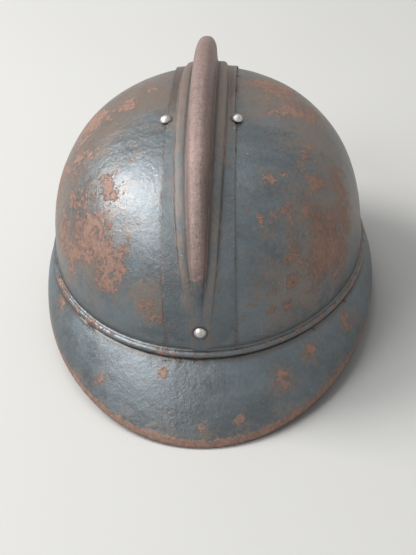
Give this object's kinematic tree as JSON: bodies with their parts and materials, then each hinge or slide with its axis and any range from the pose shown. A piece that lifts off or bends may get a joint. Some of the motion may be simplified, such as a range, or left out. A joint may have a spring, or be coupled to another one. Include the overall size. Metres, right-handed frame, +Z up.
{
  "type": "adrian helmet",
  "caption": "Crested steel field helmet with separate visor and neck guard, riveted comb, felt and leather liner and a leather chin strap on wire bails.",
  "frame": {"origin": "on the table at the middle of the helmet's length and width, under the rolled rim", "axes": "+Z up through the crown, +Y towards the neck guard at the rear, +X towards the wearer's left when the wearer looks along -Y"},
  "size_m": [0.207, 0.293, 0.1582],
  "materials": {
    "bowl_paint": "worn blue-grey paint over steel, rust brown in patches",
    "brim_paint": "worn blue-grey paint over steel, rusty rolled rim",
    "crest_rust": "rust brown with little paint left",
    "rivet_steel": "bare bright domed heads",
    "badge_paint": "worn dark paint over stamped steel",
    "liner_felt": "dark pressed wool",
    "liner_leather": "dark brown, creased and dull",
    "spacer_aluminium": "dull corrugated strip",
    "clip_steel": "dark painted steel prongs",
    "lug_steel": "dark painted steel, brazed",
    "bail_wire": "dull steel wire with some rust",
    "strap_leather": "worn brown leather",
    "buckle_steel": "dull pressed steel"
  },
  "bodies": {
    "helmet": {"bowl": "bowl_paint", "front_visor": "brim_paint", "neck_guard": "brim_paint", "crest": "crest_rust", "crest_rivet_rear": "rivet_steel", "crest_rivet_front": "rivet_steel", "crest_rivet_left": "rivet_steel", "crest_rivet_right": "rivet_steel", "front_badge": "badge_paint", "felt_band": "liner_felt", "leather_cap": "liner_leather", "spacer_left": "spacer_aluminium", "spacer_rear": "spacer_aluminium", "spacer_right": "spacer_aluminium", "spacer_front": "spacer_aluminium", "liner_clip_rear_left": "clip_steel", "liner_clip_rear_right": "clip_steel", "liner_clip_front_right": "clip_steel", "liner_clip_front_left": "clip_steel", "lug_left": "lug_steel", "lug_right": "lug_steel"},
    "left_bail": {"bail_left": "bail_wire"},
    "right_bail": {"bail_right": "bail_wire"},
    "strap": {"chin_strap": "strap_leather"},
    "buckle": {"strap_buckle": "buckle_steel"}
  },
  "joints": [
    {"name": "strap_swing", "type": "hinge", "parent": "helmet", "child": "left_bail", "pos_m": [0.08976, -0.0015, 0.0365], "axis": [0, 1, 0], "range_deg": [-15, 15]},
    {"name": "right_bail_hinge", "type": "hinge", "parent": "helmet", "child": "right_bail", "pos_m": [-0.08976, -0.0015, 0.0365], "axis": [0, 1, 0], "range_deg": [-18, 18]},
    {"name": "strap_on_bail", "type": "hinge", "parent": "left_bail", "child": "strap", "pos_m": [0.08976, -0.0015, 0.0215], "axis": [0, 1, 0], "range_deg": [-15, 15]},
    {"name": "buckle_slide", "type": "slide", "parent": "strap", "child": "buckle", "axis": [1, 0, 0], "range_m": [-0.024, 0.024]}
  ],
  "couplings": [
    {"joint": "right_bail_hinge", "follows": "strap_swing", "ratio": 1},
    {"joint": "strap_on_bail", "follows": "strap_swing", "ratio": -1}
  ]
}
